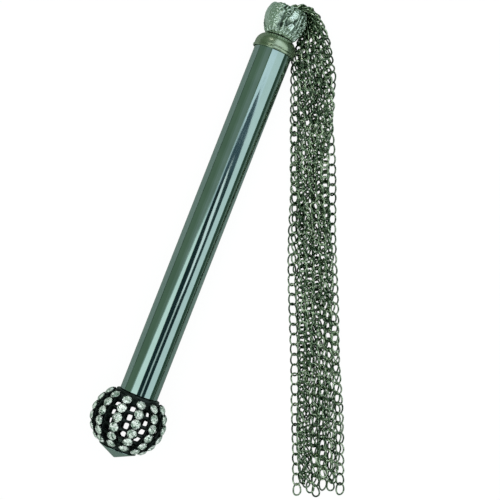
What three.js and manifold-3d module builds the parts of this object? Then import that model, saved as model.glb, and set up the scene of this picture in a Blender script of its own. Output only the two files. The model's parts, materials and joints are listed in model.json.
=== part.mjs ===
// A chain-tassel magic wand: a polished metal tube with a rhinestone ball on its lower end and a
// leaf-shaped crown cup on its upper end, from whose mouth seventeen fine chains hang over the rim.
// Millimetres, +Z up, lying on a table. +Y runs along the handle from the ball to the crown.
import * as THREE from 'three';
import { mergeVertices } from 'three/addons/utils/BufferGeometryUtils.js';
import Module from 'manifold-3d';

const wasm = await Module();
wasm.setup();

// ---- driving dimensions ----
const GAP = 0.3; // clearance between touching pieces
const TUBE_R = 9.5; // 19 mm (3/4 inch) handle tube
const TUBE_WALL = 1.0;
const TUBE_START = 32.7; // stations along the axis are measured from the tip of the cone
const TUBE_END = 213.5;
const BALL_S = 19.2; // centre of the ball
const CAGE_R = 17.0; // outside of the pierced cage across the axis
const CAGE_C = 15.3; // and along it
const CAGE_WALL = 1.2;
const COLUMNS = 12; // stone rows round the ball
const STONES = 6; // stones in a row
const STONE_FIRST = 39; // degrees of latitude of the stone nearest the tube
const STONE_STEP = 17;
const STONE_R = 2.45;
const STONE_TOP = 1.9; // the stones' flat tops stand this far outside the cage
const BALL_REST = 18.5; // height of the ball's centre when it lies on two rows of stones
const CUP_R = 10.7; // widest part of the crown cup, which lies on the table
const CUP_WIDEST = 228.6;
const LIP_R = 9.1;
const LIP_S = 234.2;
const MOUTH_S = 233.0; // the tassel is placed from this point of the axis, in the crown's mouth
const BEND_ANGLE = 21.37; // degrees between the handle and the run of the tassel
const CHAIN_D = 2.0; // solid strand that stands for a fine curb chain
const CHAIN_COLUMNS = 6;
const CHAIN_LAYERS = 3;
const FOLD_ACROSS = 11.85; // middle of the line where the hanging part starts to fold
const FOLD_ALONG = 36.3;
const FOLD_HEIGHT = 4.05;
const COLUMN_PITCH = 3.3;
const LAYER_PITCH = 2.7;

// ---- helpers ----
const degrees = THREE.MathUtils.degToRad;

// Shared vertices merged, flat slivers dropped and the faces turned outwards.
function closed(geometry) {
  const bare = geometry.clone();
  bare.deleteAttribute('normal');
  bare.deleteAttribute('uv');
  const merged = mergeVertices(bare, 1e-3);
  const place = merged.getAttribute('position');
  const corner = (i) => new THREE.Vector3().fromBufferAttribute(place, i);
  const faces = [];
  let volume = 0;
  for (let i = 0; i < merged.index.count; i += 3) {
    const [a, b, c] = [0, 1, 2].map((j) => merged.index.getX(i + j));
    if (a === b || b === c || a === c) continue;
    faces.push([a, b, c]);
    volume += corner(a).dot(corner(b).cross(corner(c)));
  }
  const outward = volume > 0 ? faces : faces.map(([a, b, c]) => [a, c, b]);
  merged.setIndex(outward.flat());
  return merged;
}

function toSolid(geometry) {
  const clean = closed(geometry);
  const vertProperties = new Float32Array(clean.getAttribute('position').array);
  const triVerts = new Uint32Array(clean.index.array);
  return new wasm.Manifold(new wasm.Mesh({ numProp: 3, vertProperties, triVerts }));
}

function toGeometry(solid) {
  const mesh = solid.getMesh();
  const geometry = new THREE.BufferGeometry();
  geometry.setAttribute('position', new THREE.Float32BufferAttribute(mesh.vertProperties, 3));
  geometry.setIndex([...mesh.triVerts]);
  return geometry;
}

// A turned piece from [radius, station] points, closed on the axis or on itself.
function turned(points, segments = 24) {
  return closed(new THREE.LatheGeometry(points.map(([r, s]) => new THREE.Vector2(r, s)), segments));
}

// A ring-shaped outline: the points of a rectangle that closes on itself.
function sleeve(inner, outer, start, end) {
  return [[inner, start], [outer, start], [outer, end], [inner, end], [inner, start]];
}

// Points of an ellipse round the ball's centre between two latitudes, in degrees.
function meridian(radius, height, from, to, steps) {
  const points = [];
  for (let i = 0; i <= steps; i += 1) {
    const latitude = degrees(from + ((to - from) * i) / steps);
    points.push([radius * Math.cos(latitude), BALL_S + height * Math.sin(latitude)]);
  }
  return points;
}

function finish(colour, roughness, metalness = 1) {
  return () => new THREE.MeshStandardMaterial({ color: colour, roughness, metalness });
}

const gunmetal = finish(0x5f7369, 0.16);
const darkCast = finish(0x2b312f, 0.35);
const castMetal = finish(0x7d8f83, 0.24);
const steel = finish(0x9aa3a0, 0.3);
const crystal = finish(0xdfeae4, 0.05, 0.1);
const chainMetal = finish(0x3a4a42, 0.28);

const handle = new THREE.Group();
const tassel = new THREE.Group();

function add(parent, name, geometry, material) {
  const mesh = new THREE.Mesh(geometry, material());
  mesh.name = name;
  parent.add(mesh);
  return mesh;
}

// ---- handle tube and its end plugs ----
const PLUG_R = TUBE_R - TUBE_WALL - GAP;
const SCREW_R = 1.9;
const SWIVEL_R = 1.5;
const BUSH_R = 3.0;
const LOWER_PLUG = [TUBE_START + GAP, 45];
const UPPER_PLUG = [199, TUBE_END - GAP];

function buildTube() {
  const tube = sleeve(TUBE_R - TUBE_WALL, TUBE_R, TUBE_START, TUBE_END);
  add(handle, 'handle_tube', turned(tube, 32), gunmetal);
  add(handle, 'lower_end_plug', turned(sleeve(SCREW_R + GAP, PLUG_R, ...LOWER_PLUG)), steel);
  add(handle, 'upper_end_plug', turned(sleeve(BUSH_R + GAP, PLUG_R, ...UPPER_PLUG)), steel);
}

// ---- rhinestone ball ----
const NECK_R = 10.9; // flat ring of the cage against the tube
const NECK_S = 32.4;
const FOOT_R = 9.4; // flat ring of the cage against the cone
const FOOT_S = 5.0;
const FOOT_BORE = 5.5;
const WINDOW = [3.2, 3.3, 8]; // across, along and deep
const ROW_WIDTH = 3.4; // band that holds a row's stones
const ROW_THICK = 0.9;
const ROW_GAP = 0.45;

function buildCage() {
  const insideR = CAGE_R - CAGE_WALL;
  const insideC = CAGE_C - CAGE_WALL;
  const lastStone = STONE_FIRST - STONE_STEP * (STONES - 1);
  const shell = turned([
    [SCREW_R + 2 * GAP, NECK_S - CAGE_WALL],
    [SCREW_R + 2 * GAP, NECK_S],
    [NECK_R, NECK_S],
    [NECK_R + 0.2, NECK_S - CAGE_WALL],
    ...meridian(CAGE_R, CAGE_C, STONE_FIRST, lastStone, STONES - 1),
    [FOOT_R, FOOT_S + 1.2],
    [FOOT_R, FOOT_S],
    [FOOT_BORE, FOOT_S],
    [FOOT_BORE, FOOT_S + CAGE_WALL],
    [FOOT_R - CAGE_WALL, FOOT_S + CAGE_WALL],
    ...meridian(insideR, insideC, lastStone, STONE_FIRST, STONES - 1),
    [NECK_R - CAGE_WALL, NECK_S - CAGE_WALL],
    [SCREW_R + 2 * GAP, NECK_S - CAGE_WALL],
  ], 2 * COLUMNS);
  shell.rotateY(Math.PI / (2 * COLUMNS)); // each window falls inside one facet
  let cage = toSolid(shell);
  for (let column = 0; column < COLUMNS; column += 1) {
    const around = degrees((360 / COLUMNS) * column);
    for (let row = 0; row < STONES - 1; row += 1) {
      const latitude = degrees(STONE_FIRST - STONE_STEP * (row + 0.5));
      const cutter = new THREE.BoxGeometry(...WINDOW);
      cutter.translate(0, 0, CAGE_R);
      cutter.rotateX(-latitude);
      cutter.rotateY(around);
      cutter.translate(0, BALL_S, 0);
      cage = cage.subtract(toSolid(cutter));
    }
  }
  add(handle, 'ball_cage', toGeometry(cage), darkCast);
}

// One row of cup-set stones: a thin curved band with its stones, made for the +Z side of the ball.
function stoneRow() {
  const reach = STONE_STEP / 3;
  const top = STONE_FIRST + reach;
  const foot = STONE_FIRST - STONE_STEP * (STONES - 1) - reach;
  const outside = ROW_GAP + ROW_THICK;
  const inner = meridian(CAGE_R + ROW_GAP, CAGE_C + ROW_GAP, top, foot, STONES);
  const outer = meridian(CAGE_R + outside, CAGE_C + outside, foot, top, STONES);
  const outline = new THREE.Shape([...inner, ...outer].map(([r, s]) => new THREE.Vector2(r, s)));
  const band = new THREE.ExtrudeGeometry(outline, { depth: ROW_WIDTH, bevelEnabled: false });
  band.translate(0, 0, -ROW_WIDTH / 2);
  band.rotateY(-Math.PI / 2);
  let row = toSolid(band);
  const sunk = outside - 0.3; // the stones' bases sit a little inside the band
  const tableR = 1.45;
  for (let i = 0; i < STONES; i += 1) {
    const latitude = degrees(STONE_FIRST - STONE_STEP * i);
    const slope = Math.atan2(Math.sin(latitude) / CAGE_C, Math.cos(latitude) / CAGE_R);
    const height = STONE_TOP - sunk;
    const stone = turned([[0, 0], [STONE_R, 0], [tableR, height], [0, height]], 6);
    stone.translate(0, sunk, 0);
    stone.rotateX(Math.PI / 2 - slope);
    stone.translate(0, BALL_S + CAGE_C * Math.sin(latitude), CAGE_R * Math.cos(latitude));
    row = row.add(toSolid(stone));
  }
  return toGeometry(row);
}

function buildStoneRows() {
  const row = stoneRow();
  for (let column = 0; column < COLUMNS; column += 1) {
    const name = `stone_row_${String(column + 1).padStart(2, '0')}`;
    const mesh = add(handle, name, row, crystal);
    mesh.rotation.y = degrees((360 / COLUMNS) * (column + 0.5));
  }
}

function buildBallFixings() {
  const hubR = FOOT_BORE - GAP - 0.1;
  const hubTop = 8.6;
  const nutStart = FOOT_S + CAGE_WALL + GAP;
  add(handle, 'cone_cap', turned([
    [0, 0],
    [FOOT_R, FOOT_S - 0.5],
    [FOOT_R, FOOT_S - GAP],
    [hubR, FOOT_S - GAP],
    [hubR, hubTop],
    [0, hubTop],
  ]), gunmetal);
  add(handle, 'cone_ring_nut', turned(sleeve(hubR + GAP, 7.2, nutStart, nutStart + 1.9)), steel);
  const headTop = NECK_S - CAGE_WALL - 2 * GAP;
  const headR = 3.6;
  add(handle, 'ball_screw', turned([
    [0, headTop - 2.4],
    [headR - 0.8, headTop - 2.4],
    [headR, headTop - 1.4],
    [headR, headTop],
    [SCREW_R, headTop],
    [SCREW_R, 42],
    [0, 42],
  ], 16), steel);
}

// ---- collar, crown cup and swivel ----
const COLLAR_R = 10.6; // bead round the collar's skirt
const COLLAR_S = 211.5;
const COLLAR_TOP = 218.8;
const CUP_START = COLLAR_TOP + GAP;
const CUP_FLOOR = CUP_START + 1.5;
const BUSH_TOP = CUP_FLOOR + GAP + 0.8;
const EYE_R = 1.9;
const EYE_WIRE = 0.7;
const EYE_S = BUSH_TOP + GAP + EYE_R + EYE_WIRE;
const RING_R = 2.4;
const RING_WIRE = 0.6;
const RING_S = EYE_S + RING_R + 0.1;

function buildCollar() {
  const roof = TUBE_END + GAP;
  const skirt = TUBE_R + GAP;
  add(handle, 'dome_collar', turned([
    [BUSH_R + GAP, roof],
    [skirt, roof],
    [skirt, 211.0],
    [10.3, 211.0],
    [COLLAR_R, COLLAR_S],
    [10.4, 212.2],
    [10.3, 214.2],
    [9.6, 216.4],
    [8.2, 218.0],
    [6.6, COLLAR_TOP],
    [BUSH_R + GAP, COLLAR_TOP],
    [BUSH_R + GAP, roof],
  ], 32), castMetal);
}

function buildCup() {
  const wall = 1.0;
  let cup = toSolid(turned([
    [BUSH_R + GAP, CUP_START],
    [7.3, CUP_START],
    [8.6, 220.8],
    [10.0, 223.4],
    [10.6, 226.2],
    [CUP_R, CUP_WIDEST],
    [10.3, 231.5],
    [LIP_R, LIP_S],
    [LIP_R - wall, LIP_S],
    [10.3 - wall, 231.3],
    [CUP_R - wall, CUP_WIDEST],
    [10.6 - wall, 226.4],
    [10.0 - wall, 223.9],
    [7.6, 221.6],
    [6.0, CUP_FLOOR],
    [BUSH_R + GAP, CUP_FLOOR],
    [BUSH_R + GAP, CUP_START],
  ], 32));
  const lobes = 8;
  for (let i = 0; i < lobes; i += 1) {
    const notch = new THREE.CylinderGeometry(1.5, 1.5, 4, 8);
    notch.rotateX(Math.PI / 2);
    notch.translate(0, LIP_S + 0.7, LIP_R);
    notch.rotateY(degrees((360 / lobes) * (i + 0.5)));
    cup = cup.subtract(toSolid(notch));
  }
  add(handle, 'crown_cup', toGeometry(cup), castMetal);
  add(handle, 'cup_bush', turned([
    [SWIVEL_R + GAP, UPPER_PLUG[0] + 1],
    [BUSH_R, UPPER_PLUG[0] + 1],
    [BUSH_R, CUP_FLOOR + GAP],
    [5.0, CUP_FLOOR + GAP],
    [5.0, BUSH_TOP],
    [SWIVEL_R + GAP, BUSH_TOP],
    [SWIVEL_R + GAP, UPPER_PLUG[0] + 1],
  ], 20), steel);
}

function buildSwivel() {
  const pinEnd = 195.5;
  const pinTop = EYE_S - EYE_R;
  const shank = turned([[0, pinEnd], [SWIVEL_R, pinEnd], [SWIVEL_R, pinTop], [0, pinTop]], 12);
  const eye = new THREE.TorusGeometry(EYE_R, EYE_WIRE, 8, 20);
  eye.translate(0, EYE_S, 0);
  add(handle, 'swivel_eye', toGeometry(toSolid(shank).add(toSolid(eye))), steel);
  const nutTop = UPPER_PLUG[0] - GAP;
  add(handle, 'swivel_nut', turned(sleeve(SWIVEL_R + 2 * GAP, 3.4, nutTop - 2.5, nutTop), 6), steel);
  const ring = new THREE.TorusGeometry(RING_R, RING_WIRE, 8, 20);
  ring.rotateY(Math.PI / 2);
  ring.translate(0, RING_S, 0);
  add(handle, 'gather_ring', closed(ring), steel);
}

// ---- chain tassel ----
// The bundle's middle line, from the crown's mouth round the rim and down beside the handle: across
// and along the tassel's run from the middle of the mouth, height over the table, twist in degrees,
// and the pitches of the columns and of the layers. A twist of 0 has the six columns one above the
// other; 90 lays them flat.
const BUNDLE = [
  [6.3, -1.42, 10.5, 0, 2.4, 2.0],
  [7.2, -1.87, 10.5, 0, 2.4, 2.0],
  [8.68, -1.98, 10.4, 0, 2.4, 2.0],
  [10.14, -1.49, 10.3, 0, 2.4, 2.0],
  [11.65, -0.15, 10.2, 2, 2.4, 2.0],
  [12.33, 1.9, 10.1, 4, 2.4, 2.0],
  [12.3, 4.8, 10.0, 8, 2.4, 2.05],
  [12.1, 8.2, 9.8, 14, 2.45, 2.15],
  [12.25, 12.2, 9.4, 33, 2.5, 2.25],
  [12.1, 16.0, 9.1, 47, 2.6, 2.35],
  [11.9, 20.4, 8.3, 61, 2.75, 2.45],
  [11.75, 26.0, 6.6, 75, 2.95, 2.6],
  [FOLD_ACROSS, 32.2, FOLD_HEIGHT, 90, COLUMN_PITCH, LAYER_PITCH],
];
// Below the fold the bundle spreads a little: its middle across the run and the columns' pitch.
const SPREAD = [
  [FOLD_ACROSS, COLUMN_PITCH],
  [11.85, 3.8],
  [11.85, 3.92],
  [12.3, 4.0],
  [13.5, 4.2],
  [14.2, 4.4],
  [14.75, 4.1],
];
const LAYER_STAGGER = [-0.25, 0.25, -0.25]; // in column pitches, so that the layers nest
const LAYER_WIDTH = [1, 0.8, 0.78]; // the upper layers draw together
const LAYER_SHIFT = [1.0, -0.6, -1.0];
const LAYER_SWAY = [0.4, 1.3, 1.6]; // a layer wanders as a whole
const STRAND_SWAY = 0.3; // and each strand in it a little more
const RUN_ENDS = [238.2, 234.5, 239, 235.6, 231.5, 238]; // where each column's longest chain ends
const LAYER_SHORTER = [0, 6, 3];

const middle = new THREE.CatmullRomCurve3(
  BUNDLE.map(([across, along]) => new THREE.Vector3(across, -along, 0)),
  false,
  'centripetal',
);

// A column's place from the middle of its layer, in column pitches.
function fromMiddle(column, layer) {
  return column - (CHAIN_COLUMNS - 1) / 2 + LAYER_STAGGER[layer];
}

// Place of one chain where the bundle passes a station: columns count from the handle outwards,
// layers from the table up, and the middle line is halfway between the outermost of each.
function chainPlace(station, column, layer) {
  const [across, along, height, twist, columnPitch, layerPitch] = BUNDLE[station];
  const heading = middle.getTangent(station / (BUNDLE.length - 1));
  const outward = new THREE.Vector3(-heading.y, heading.x, 0).normalize();
  const inColumns = fromMiddle(column, layer) * columnPitch;
  const inLayers = ((CHAIN_LAYERS - 1) / 2 - layer) * layerPitch;
  const turn = degrees(twist);
  const sideways = inColumns * Math.sin(turn) + inLayers * Math.cos(turn);
  const upwards = inColumns * Math.cos(turn) - inLayers * Math.sin(turn);
  return new THREE.Vector3(across, -along, height + upwards).addScaledVector(outward, sideways);
}

// A solid strand with one ring of corners at each point of its route.
function strand(points) {
  const section = new THREE.Shape(
    [0, 1, 2, 3, 4, 5, 6, 7].map((i) => {
      const angle = degrees(45 * i + 22.5);
      return new THREE.Vector2(Math.cos(angle), Math.sin(angle)).multiplyScalar(CHAIN_D / 2);
    }),
  );
  const extrudePath = new THREE.CatmullRomCurve3(points, false, 'centripetal');
  extrudePath.getPointAt = extrudePath.getPoint;
  extrudePath.getTangentAt = extrudePath.getTangent;
  const steps = points.length - 1;
  return closed(new THREE.ExtrudeGeometry(section, { steps, extrudePath, bevelEnabled: false }));
}

// Half of the gap between a chain's two parts, wide enough for the fold to close on itself.
function foldClearance(layer) {
  const offset = Math.abs(layer - (CHAIN_LAYERS - 1) / 2) * LAYER_PITCH;
  return offset + CHAIN_D / 2 + GAP;
}

function bendRoute(column, layer) {
  const points = BUNDLE.map((_, station) => chainPlace(station, column, layer));
  const last = points[points.length - 1].clone();
  const end = -(FOLD_ALONG - foldClearance(layer));
  if (last.y - end > GAP) points.push(new THREE.Vector3(last.x, end, last.z));
  return points;
}

function fallRoute(column, layer) {
  const start = FOLD_ALONG + foldClearance(layer);
  const finishAt = RUN_ENDS[column] - LAYER_SHORTER[layer];
  const height = FOLD_HEIGHT + (layer - (CHAIN_LAYERS - 1) / 2) * LAYER_PITCH;
  return SPREAD.map(([centre, pitch], i) => {
    const along = THREE.MathUtils.lerp(start, finishAt, i / (SPREAD.length - 1));
    const inColumns = fromMiddle(column, layer) * pitch;
    if (i === 0) return new THREE.Vector3(centre + inColumns, -along, height);
    const layerSway = LAYER_SWAY[layer] * Math.sin(1.3 * i + 2.1 * layer + 0.4);
    const ownSway = STRAND_SWAY * Math.sin(1.7 * column + 2.3 * layer + 1.9 * i);
    const across = centre + LAYER_SHIFT[layer] + LAYER_WIDTH[layer] * inColumns;
    return new THREE.Vector3(across + layerSway + ownSway, -along, height);
  });
}

function buildTassel() {
  let number = 0;
  for (let column = 0; column < CHAIN_COLUMNS; column += 1) {
    for (let layer = 0; layer < CHAIN_LAYERS; layer += 1) {
      const besideCollar = column === 0 && layer === CHAIN_LAYERS - 1;
      if (besideCollar) continue; // no room for a chain there
      number += 1;
      const name = `chain_${String(number).padStart(2, '0')}`;
      add(tassel, `${name}_bend`, strand(bendRoute(column, layer)), chainMetal);
      add(tassel, `${name}_fall`, strand(fallRoute(column, layer)), chainMetal);
    }
  }
}

buildTube();
buildCage();
buildStoneRows();
buildBallFixings();
buildCollar();
buildCup();
buildSwivel();
buildTassel();

// ---- the wand lying on the table, its origin under the middle of the rigid part ----
// The ball is thicker than the crown cup, so the handle slopes until both touch the table.
handle.rotation.x = -Math.asin((BALL_REST - CUP_R) / (CUP_WIDEST - BALL_S));
handle.updateMatrixWorld(true);
const bounds = new THREE.Box3().setFromObject(handle, true);
const mouth = handle.localToWorld(new THREE.Vector3(0, MOUTH_S, 0));
tassel.position.set(mouth.x, mouth.y, bounds.min.z);
tassel.rotation.z = degrees(BEND_ANGLE);

const group = new THREE.Group();
group.add(handle, tassel);
group.position.set(
  -(bounds.min.x + bounds.max.x) / 2,
  -(bounds.min.y + bounds.max.y) / 2,
  -bounds.min.z,
);

export default group;
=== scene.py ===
import json
import random
from math import atan, copysign, cos, degrees, exp, hypot, pi, radians, sin, sqrt, tau

import bmesh
import bpy
from mathutils import Matrix, Vector, noise


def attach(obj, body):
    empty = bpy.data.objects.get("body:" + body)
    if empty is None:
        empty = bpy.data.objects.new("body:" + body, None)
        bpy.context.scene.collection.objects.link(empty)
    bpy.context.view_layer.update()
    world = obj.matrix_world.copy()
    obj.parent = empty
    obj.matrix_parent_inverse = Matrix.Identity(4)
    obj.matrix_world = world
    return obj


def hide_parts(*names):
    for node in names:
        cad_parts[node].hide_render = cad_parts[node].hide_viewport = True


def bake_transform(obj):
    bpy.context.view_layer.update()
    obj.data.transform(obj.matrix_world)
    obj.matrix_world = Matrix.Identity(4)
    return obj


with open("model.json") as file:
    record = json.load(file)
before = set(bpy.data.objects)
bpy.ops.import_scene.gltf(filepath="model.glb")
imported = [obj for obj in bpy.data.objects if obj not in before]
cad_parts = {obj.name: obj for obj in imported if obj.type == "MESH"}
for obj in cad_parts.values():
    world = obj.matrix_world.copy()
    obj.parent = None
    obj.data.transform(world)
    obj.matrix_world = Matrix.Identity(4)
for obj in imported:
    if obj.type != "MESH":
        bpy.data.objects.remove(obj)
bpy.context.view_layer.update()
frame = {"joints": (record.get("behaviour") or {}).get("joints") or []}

MM = 0.001

# ---- the two frames that everything is placed in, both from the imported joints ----
joints = {joint["name"]: joint for joint in frame["joints"]}
AXIS = Vector(joints["tassel_swivel"]["axis"]).normalized()
MOUTH = Vector(joints["tassel_swivel"]["pos_m"])
SIDE = Vector((1, 0, 0))
UPWARD = Vector((0, 0, 1))
UP = SIDE.cross(AXIS)
ACROSS = -Vector(joints["tassel_fold"]["axis"]).normalized()
ALONG = Vector((ACROSS.y, -ACROSS.x, 0))
TASSEL = Vector((MOUTH.x, MOUTH.y, 0))

# ---- driving dimensions in millimetres; stations run along the handle from the cone's tip ----
GAP = 0.3  # between touching pieces
MOUTH_S = 233.0
TUBE_R = 9.5
TUBE_WALL = 1.0
TUBE_START = 32.7
TUBE_END = 213.5
BALL_S = 19.2
CAGE_R = 17.0  # the cage's half axes, across the handle
CAGE_C = 15.3  # and along it
CAGE_WALL = 1.2
COLUMNS = 12  # stone rows round the ball
STONES = 6  # in a row
STONE_FIRST = 39.0  # degrees of latitude
STONE_STEP = 17.0
STONE_R = 2.45
STONE_TOP = 1.9
NECK_R = 10.9
NECK_S = 32.4
FOOT_R = 9.4
FOOT_S = 5.0
FOOT_BORE = 5.5
COLLAR_R = 10.6
COLLAR_TOP = 218.8
CUP_START = 219.1
CUP_FLOOR = 220.6
LIP_S = 234.2

# the fixings inside: plugs, cone stem and its nut, ball screw, bush, pin and its nut, eye and ring
PLUG_BORE = 2.2
LOWER_PLUG_END = 45.0
UPPER_PLUG_START = 199.0
STEM_TOP = 8.6
RING_NUT_R = 7.2
RING_NUT_THICK = 1.9
SCREW_R = 1.9
SCREW_END = 42.0
SCREW_HEAD_R = 3.6
SCREW_HEAD = 2.4
BUSH_R = 3.0
BUSH_BORE = 1.8
BUSH_START = 200.0
BUSH_TOP = 221.7
FLANGE_R = 5.0
PIN_R = 1.5
PIN_START = 195.5
PIN_NUT = (2.1, 3.3, 196.2, 198.7)
EYE_R = 1.9
EYE_WIRE = 0.7
EYE_S = 224.6
RING_R = 2.4
RING_WIRE = 0.6
RING_S = 227.1

random.seed(7)
noise.seed_set(7)


def on_handle(radius, around, station):
    """A point of the handle: mm, and around in radians from the top towards +X."""
    outward = UP * cos(around) + SIDE * sin(around)
    return MOUTH + (AXIS * (station - MOUTH_S) + outward * radius) * MM


def on_tassel(across, along, height):
    """A point of the tassel: across and along its run from the mouth, and height, in mm."""
    return TASSEL + (ACROSS * across + ALONG * along + Vector((0, 0, height))) * MM


# ---- mesh helpers ----
def add_object(name, data):
    made = bpy.data.objects.new(name, data)
    bpy.context.scene.collection.objects.link(made)
    return made


def add_mesh(name, points, faces, material, smooth=True):
    mesh = bpy.data.meshes.new(name)
    mesh.from_pydata([tuple(p) for p in points], [], faces)
    mesh.materials.append(material)
    mesh.polygons.foreach_set("use_smooth", [smooth] * len(faces))
    mesh.update()
    return add_object(name, mesh)


def add_values(piece, name, values, domain="POINT"):
    """A value for each point or face, which a material reads by its name."""
    piece.data.attributes.new(name, "FLOAT", domain).data.foreach_set("value", values)


def tidy_mesh(piece, merge=0.01):
    """Doubles merged and the faces turned outwards."""
    work = bmesh.new()
    work.from_mesh(piece.data)
    bmesh.ops.remove_doubles(work, verts=work.verts, dist=merge * MM)
    bmesh.ops.recalc_face_normals(work, faces=work.faces)
    work.to_mesh(piece.data)
    work.free()
    return piece


def rounded(outline, radius, steps=4):
    """A closed (radius, station) outline, its corners rounded and held by support points."""
    result = []
    for i, corner in enumerate(outline):
        here = Vector(corner)
        before = Vector(outline[i - 1]) - here
        after = Vector(outline[(i + 1) % len(outline)]) - here
        if here.x < 1e-6:
            result.append((0.0, here.y))
            continue
        cut = min(radius, 0.3 * before.length, 0.3 * after.length)
        start = here + before.normalized() * cut
        end = here + after.normalized() * cut
        result.append(tuple(here + before.normalized() * cut * 1.5))
        for j in range(steps + 1):
            t = j / steps
            result.append(tuple(start * (1 - t) ** 2 + here * 2 * t * (1 - t) + end * t * t))
        result.append(tuple(here + after.normalized() * cut * 1.5))
    return result


def stitch(faces, loops, closed=False):
    """Adds the faces between each loop of points and the next; a loop may be one point repeated."""
    for a, b in zip(loops, loops[1:] + loops[:1] if closed else loops[1:]):
        for i in range(len(a)):
            j = (i + 1) % len(a)
            face = list(dict.fromkeys([a[i], a[j], b[j], b[i]]))
            if len(face) > 2:
                faces.append(face)


def wire_faces(rounds, sides):
    """Faces of a closed wire whose points come round by round."""
    faces = []
    for i in range(rounds):
        for j in range(sides):
            k, n = (j + 1) % sides, (i + 1) % rounds * sides
            faces.append((i * sides + j, n + j, n + k, i * sides + k))
    return faces


def catmull(points, steps):
    """A smooth curve through the points, in that many steps from one to the next."""
    ends = [Vector(p) for p in (points[0], *points, points[-1])]
    found = []
    for a, b, c, d in zip(ends, ends[1:], ends[2:], ends[3:]):
        for step in range(steps):
            t = step / steps
            found.append(
                a * (-0.5 * t + t * t - 0.5 * t ** 3)
                + b * (1 - 2.5 * t * t + 1.5 * t ** 3)
                + c * (0.5 * t + 2 * t * t - 1.5 * t ** 3)
                + d * (-0.5 * t * t + 0.5 * t ** 3)
            )
    return found + [ends[-1]]


def spun(outline, segments):
    """Points and faces of a closed outline turned round the handle's axis."""
    points, rings, faces = [], [], []
    for radius, station in outline:
        if radius < 1e-6:
            rings.append([len(points)] * segments)
            points.append(on_handle(0, 0, station))
            continue
        rings.append(list(range(len(points), len(points) + segments)))
        for i in range(segments):
            points.append(on_handle(radius, tau * i / segments, station))
    stitch(faces, rings, closed=True)
    return points, faces


def turned(name, outline, material, edge=0.2, segments=96):
    points, faces = spun(rounded(outline, edge), segments)
    return tidy_mesh(add_mesh(name, points, faces, material))


def sleeve(inner, outer, start, end):
    """Section of a plain sleeve: two radii and two stations."""
    return [(inner, start), (outer, start), (outer, end), (inner, end)]


def place(piece, body, slot, *nodes):
    """Rides a piece on a CAD body and hides the CAD nodes that it stands for; slot is not used."""
    if body:
        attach(piece, body)
    if nodes:
        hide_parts(*nodes)


def add_fixing(name, outline, node, body="handle", **settings):
    """A turned steel piece in place of a CAD node."""
    place(turned(name, outline, STEEL, **settings), body, "fixing_steel", node)


# ---- materials ----
class Nodes:
    """Builds one procedural material, with short calls for the nodes it uses."""

    def __init__(self, name, **constants):
        self.material = bpy.data.materials.new(name)
        self.material.use_nodes = True
        self.tree = self.material.node_tree
        self.shader = self.tree.nodes["Principled BSDF"]
        self.spot = self.node("TexCoord").outputs["Object"]
        self.feed(self.shader, {key.replace("_", " "): value for key, value in constants.items()})

    def feed(self, node, inputs):
        """Links a node's inputs to sockets and sets them to constants; None leaves one alone."""
        for key, value in inputs.items():
            if isinstance(value, bpy.types.NodeSocket):
                self.tree.links.new(value, node.inputs[key])
            elif value is not None:
                node.inputs[key].default_value = value

    def node(self, kind, inputs=None, **settings):
        made = self.tree.nodes.new("ShaderNode" + kind)
        for key, value in settings.items():
            setattr(made, key, value)
        self.feed(made, inputs or {})
        return made

    def noise(self, scale, detail=3.0, roughness=0.5, stretch=None):
        """Noise of one scale, or drawn out by a scale for each axis."""
        spot = self.spot
        if stretch:
            inputs = {"Vector": spot, "Scale": stretch}
            spot = self.node("Mapping", inputs).outputs["Vector"]
        inputs = {"Vector": spot, "Scale": scale, "Detail": detail, "Roughness": roughness}
        return self.node("TexNoise", inputs).outputs["Fac"]

    def attribute(self, name, output="Fac"):
        return self.node("Attribute", attribute_name=name).outputs[output]

    def remap(self, value, low, high, to_low, to_high):
        inputs = {"From Min": low, "From Max": high, "To Min": to_low, "To Max": to_high}
        return self.node("MapRange", {"Value": value, **inputs}).outputs["Result"]

    def ramp(self, value, *stops):
        """A colour ramp from (position, colour) stops."""
        made = self.node("ValToRGB", {"Fac": value})
        elements = made.color_ramp.elements
        for i, (position, colour) in enumerate(stops):
            element = elements[i] if i < 2 else elements.new(position)
            element.position = position
            element.color = (*colour, 1)
        return made.outputs["Color"]

    def combine(self, first, second, operation="MULTIPLY"):
        made = self.node("Math", {0: first, 1: second}, operation=operation)
        return made.outputs["Value"]

    def vector(self, operation, *values, output="Vector"):
        made = self.node("VectorMath", dict(enumerate(values)), operation=operation)
        return made.outputs[output]

    def bump(self, height, distance, strength=1.0, after=None):
        """Bumps from a height map, in metres, laid over the bumps after."""
        inputs = {"Height": height, "Distance": distance, "Strength": strength, "Normal": after}
        return self.node("Bump", inputs).outputs["Normal"]

    def finish(self, colour, roughness=None, normal=None):
        self.feed(self.shader, {"Base Color": colour, "Roughness": roughness, "Normal": normal})
        return self.material


def gunmetal_polish():
    """Mirror-polished black nickel with faint lengthwise polishing lines and handling marks."""
    made = Nodes("gunmetal_polish", Metallic=1.0)
    smears = made.noise(90, 4, 0.55)
    colour = made.ramp(smears, (0.3, (0.40, 0.50, 0.49)), (0.7, (0.46, 0.56, 0.55)))
    lines = made.noise(1, 3, 0.6, (2600, 45, 2600))
    smeared = made.remap(smears, 0.35, 0.7, 0.05, 0.1)
    roughness = made.combine(smeared, made.remap(lines, 0.3, 0.7, 0.8, 1.3))
    waves = made.bump(made.noise(55, 1, 0.4), 0.00006)
    return made.finish(colour, roughness, made.bump(lines, 0.0000015, after=waves))


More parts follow.
